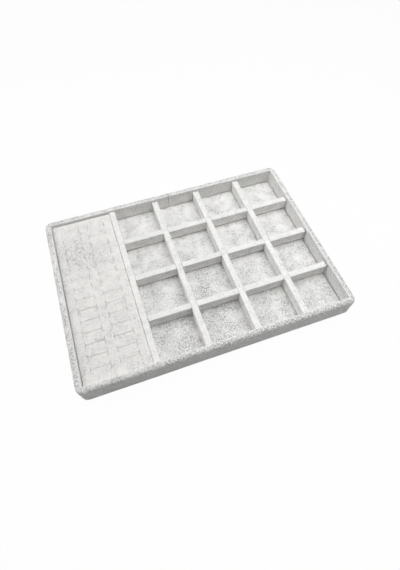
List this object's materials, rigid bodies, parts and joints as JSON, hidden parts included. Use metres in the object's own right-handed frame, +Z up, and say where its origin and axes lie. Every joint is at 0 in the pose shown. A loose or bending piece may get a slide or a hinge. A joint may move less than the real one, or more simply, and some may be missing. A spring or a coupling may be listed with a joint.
{
  "type": "jewelry tray",
  "caption": "Shallow velvet-covered jewelry tray with a slit ring pad on the left and an interlocking divider grid of open compartments.",
  "frame": {"origin": "centre of the underside, at the level of the surface that the tray stands on", "axes": "+X to the right along the long side with the ring pad on the left, +Y from front to rear, +Z up"},
  "size_m": [0.35, 0.25, 0.03],
  "materials": {
    "ice_velvet": "matte",
    "pad_velvet": "matte",
    "board": "matte",
    "card": "matte",
    "foam": "matte"
  },
  "bodies": {
    "tray": {"bottom_cover": "card", "base_board": "board", "front_wall_board": "board", "rear_wall_board": "board", "left_wall_board": "board", "right_wall_board": "board", "wall_velvet": "ice_velvet", "section_divider_core": "board", "section_divider_velvet": "ice_velvet", "floor_card": "card", "floor_velvet": "ice_velvet"},
    "ring_pad": {"ring_pad_card": "card", "ring_pad_foam": "foam", "ring_pad_velvet": "pad_velvet"},
    "cross_dividers": {"front_cross_divider_core": "board", "front_cross_divider_velvet": "ice_velvet", "middle_cross_divider_core": "board", "middle_cross_divider_velvet": "ice_velvet", "rear_cross_divider_core": "board", "rear_cross_divider_velvet": "ice_velvet"},
    "left_long_divider": {"left_long_divider_core": "board", "left_long_divider_velvet": "ice_velvet"},
    "middle_long_divider": {"middle_long_divider_core": "board", "middle_long_divider_velvet": "ice_velvet"},
    "right_long_divider": {"right_long_divider_core": "board", "right_long_divider_velvet": "ice_velvet"}
  },
  "joints": [
    {"name": "ring_pad_lift", "type": "slide", "parent": "tray", "child": "ring_pad", "axis": [0, 0, 1], "range_m": [0, 0.03]},
    {"name": "divider_grid_lift", "type": "slide", "parent": "tray", "child": "cross_dividers", "axis": [0, 0, 1], "range_m": [0, 0.03]},
    {"name": "left_long_divider_lift", "type": "slide", "parent": "cross_dividers", "child": "left_long_divider", "axis": [0, 0, 1], "range_m": [0, 0.022]},
    {"name": "middle_long_divider_lift", "type": "slide", "parent": "cross_dividers", "child": "middle_long_divider", "axis": [0, 0, 1], "range_m": [0, 0.022]},
    {"name": "right_long_divider_lift", "type": "slide", "parent": "cross_dividers", "child": "right_long_divider", "axis": [0, 0, 1], "range_m": [0, 0.022]}
  ]
}
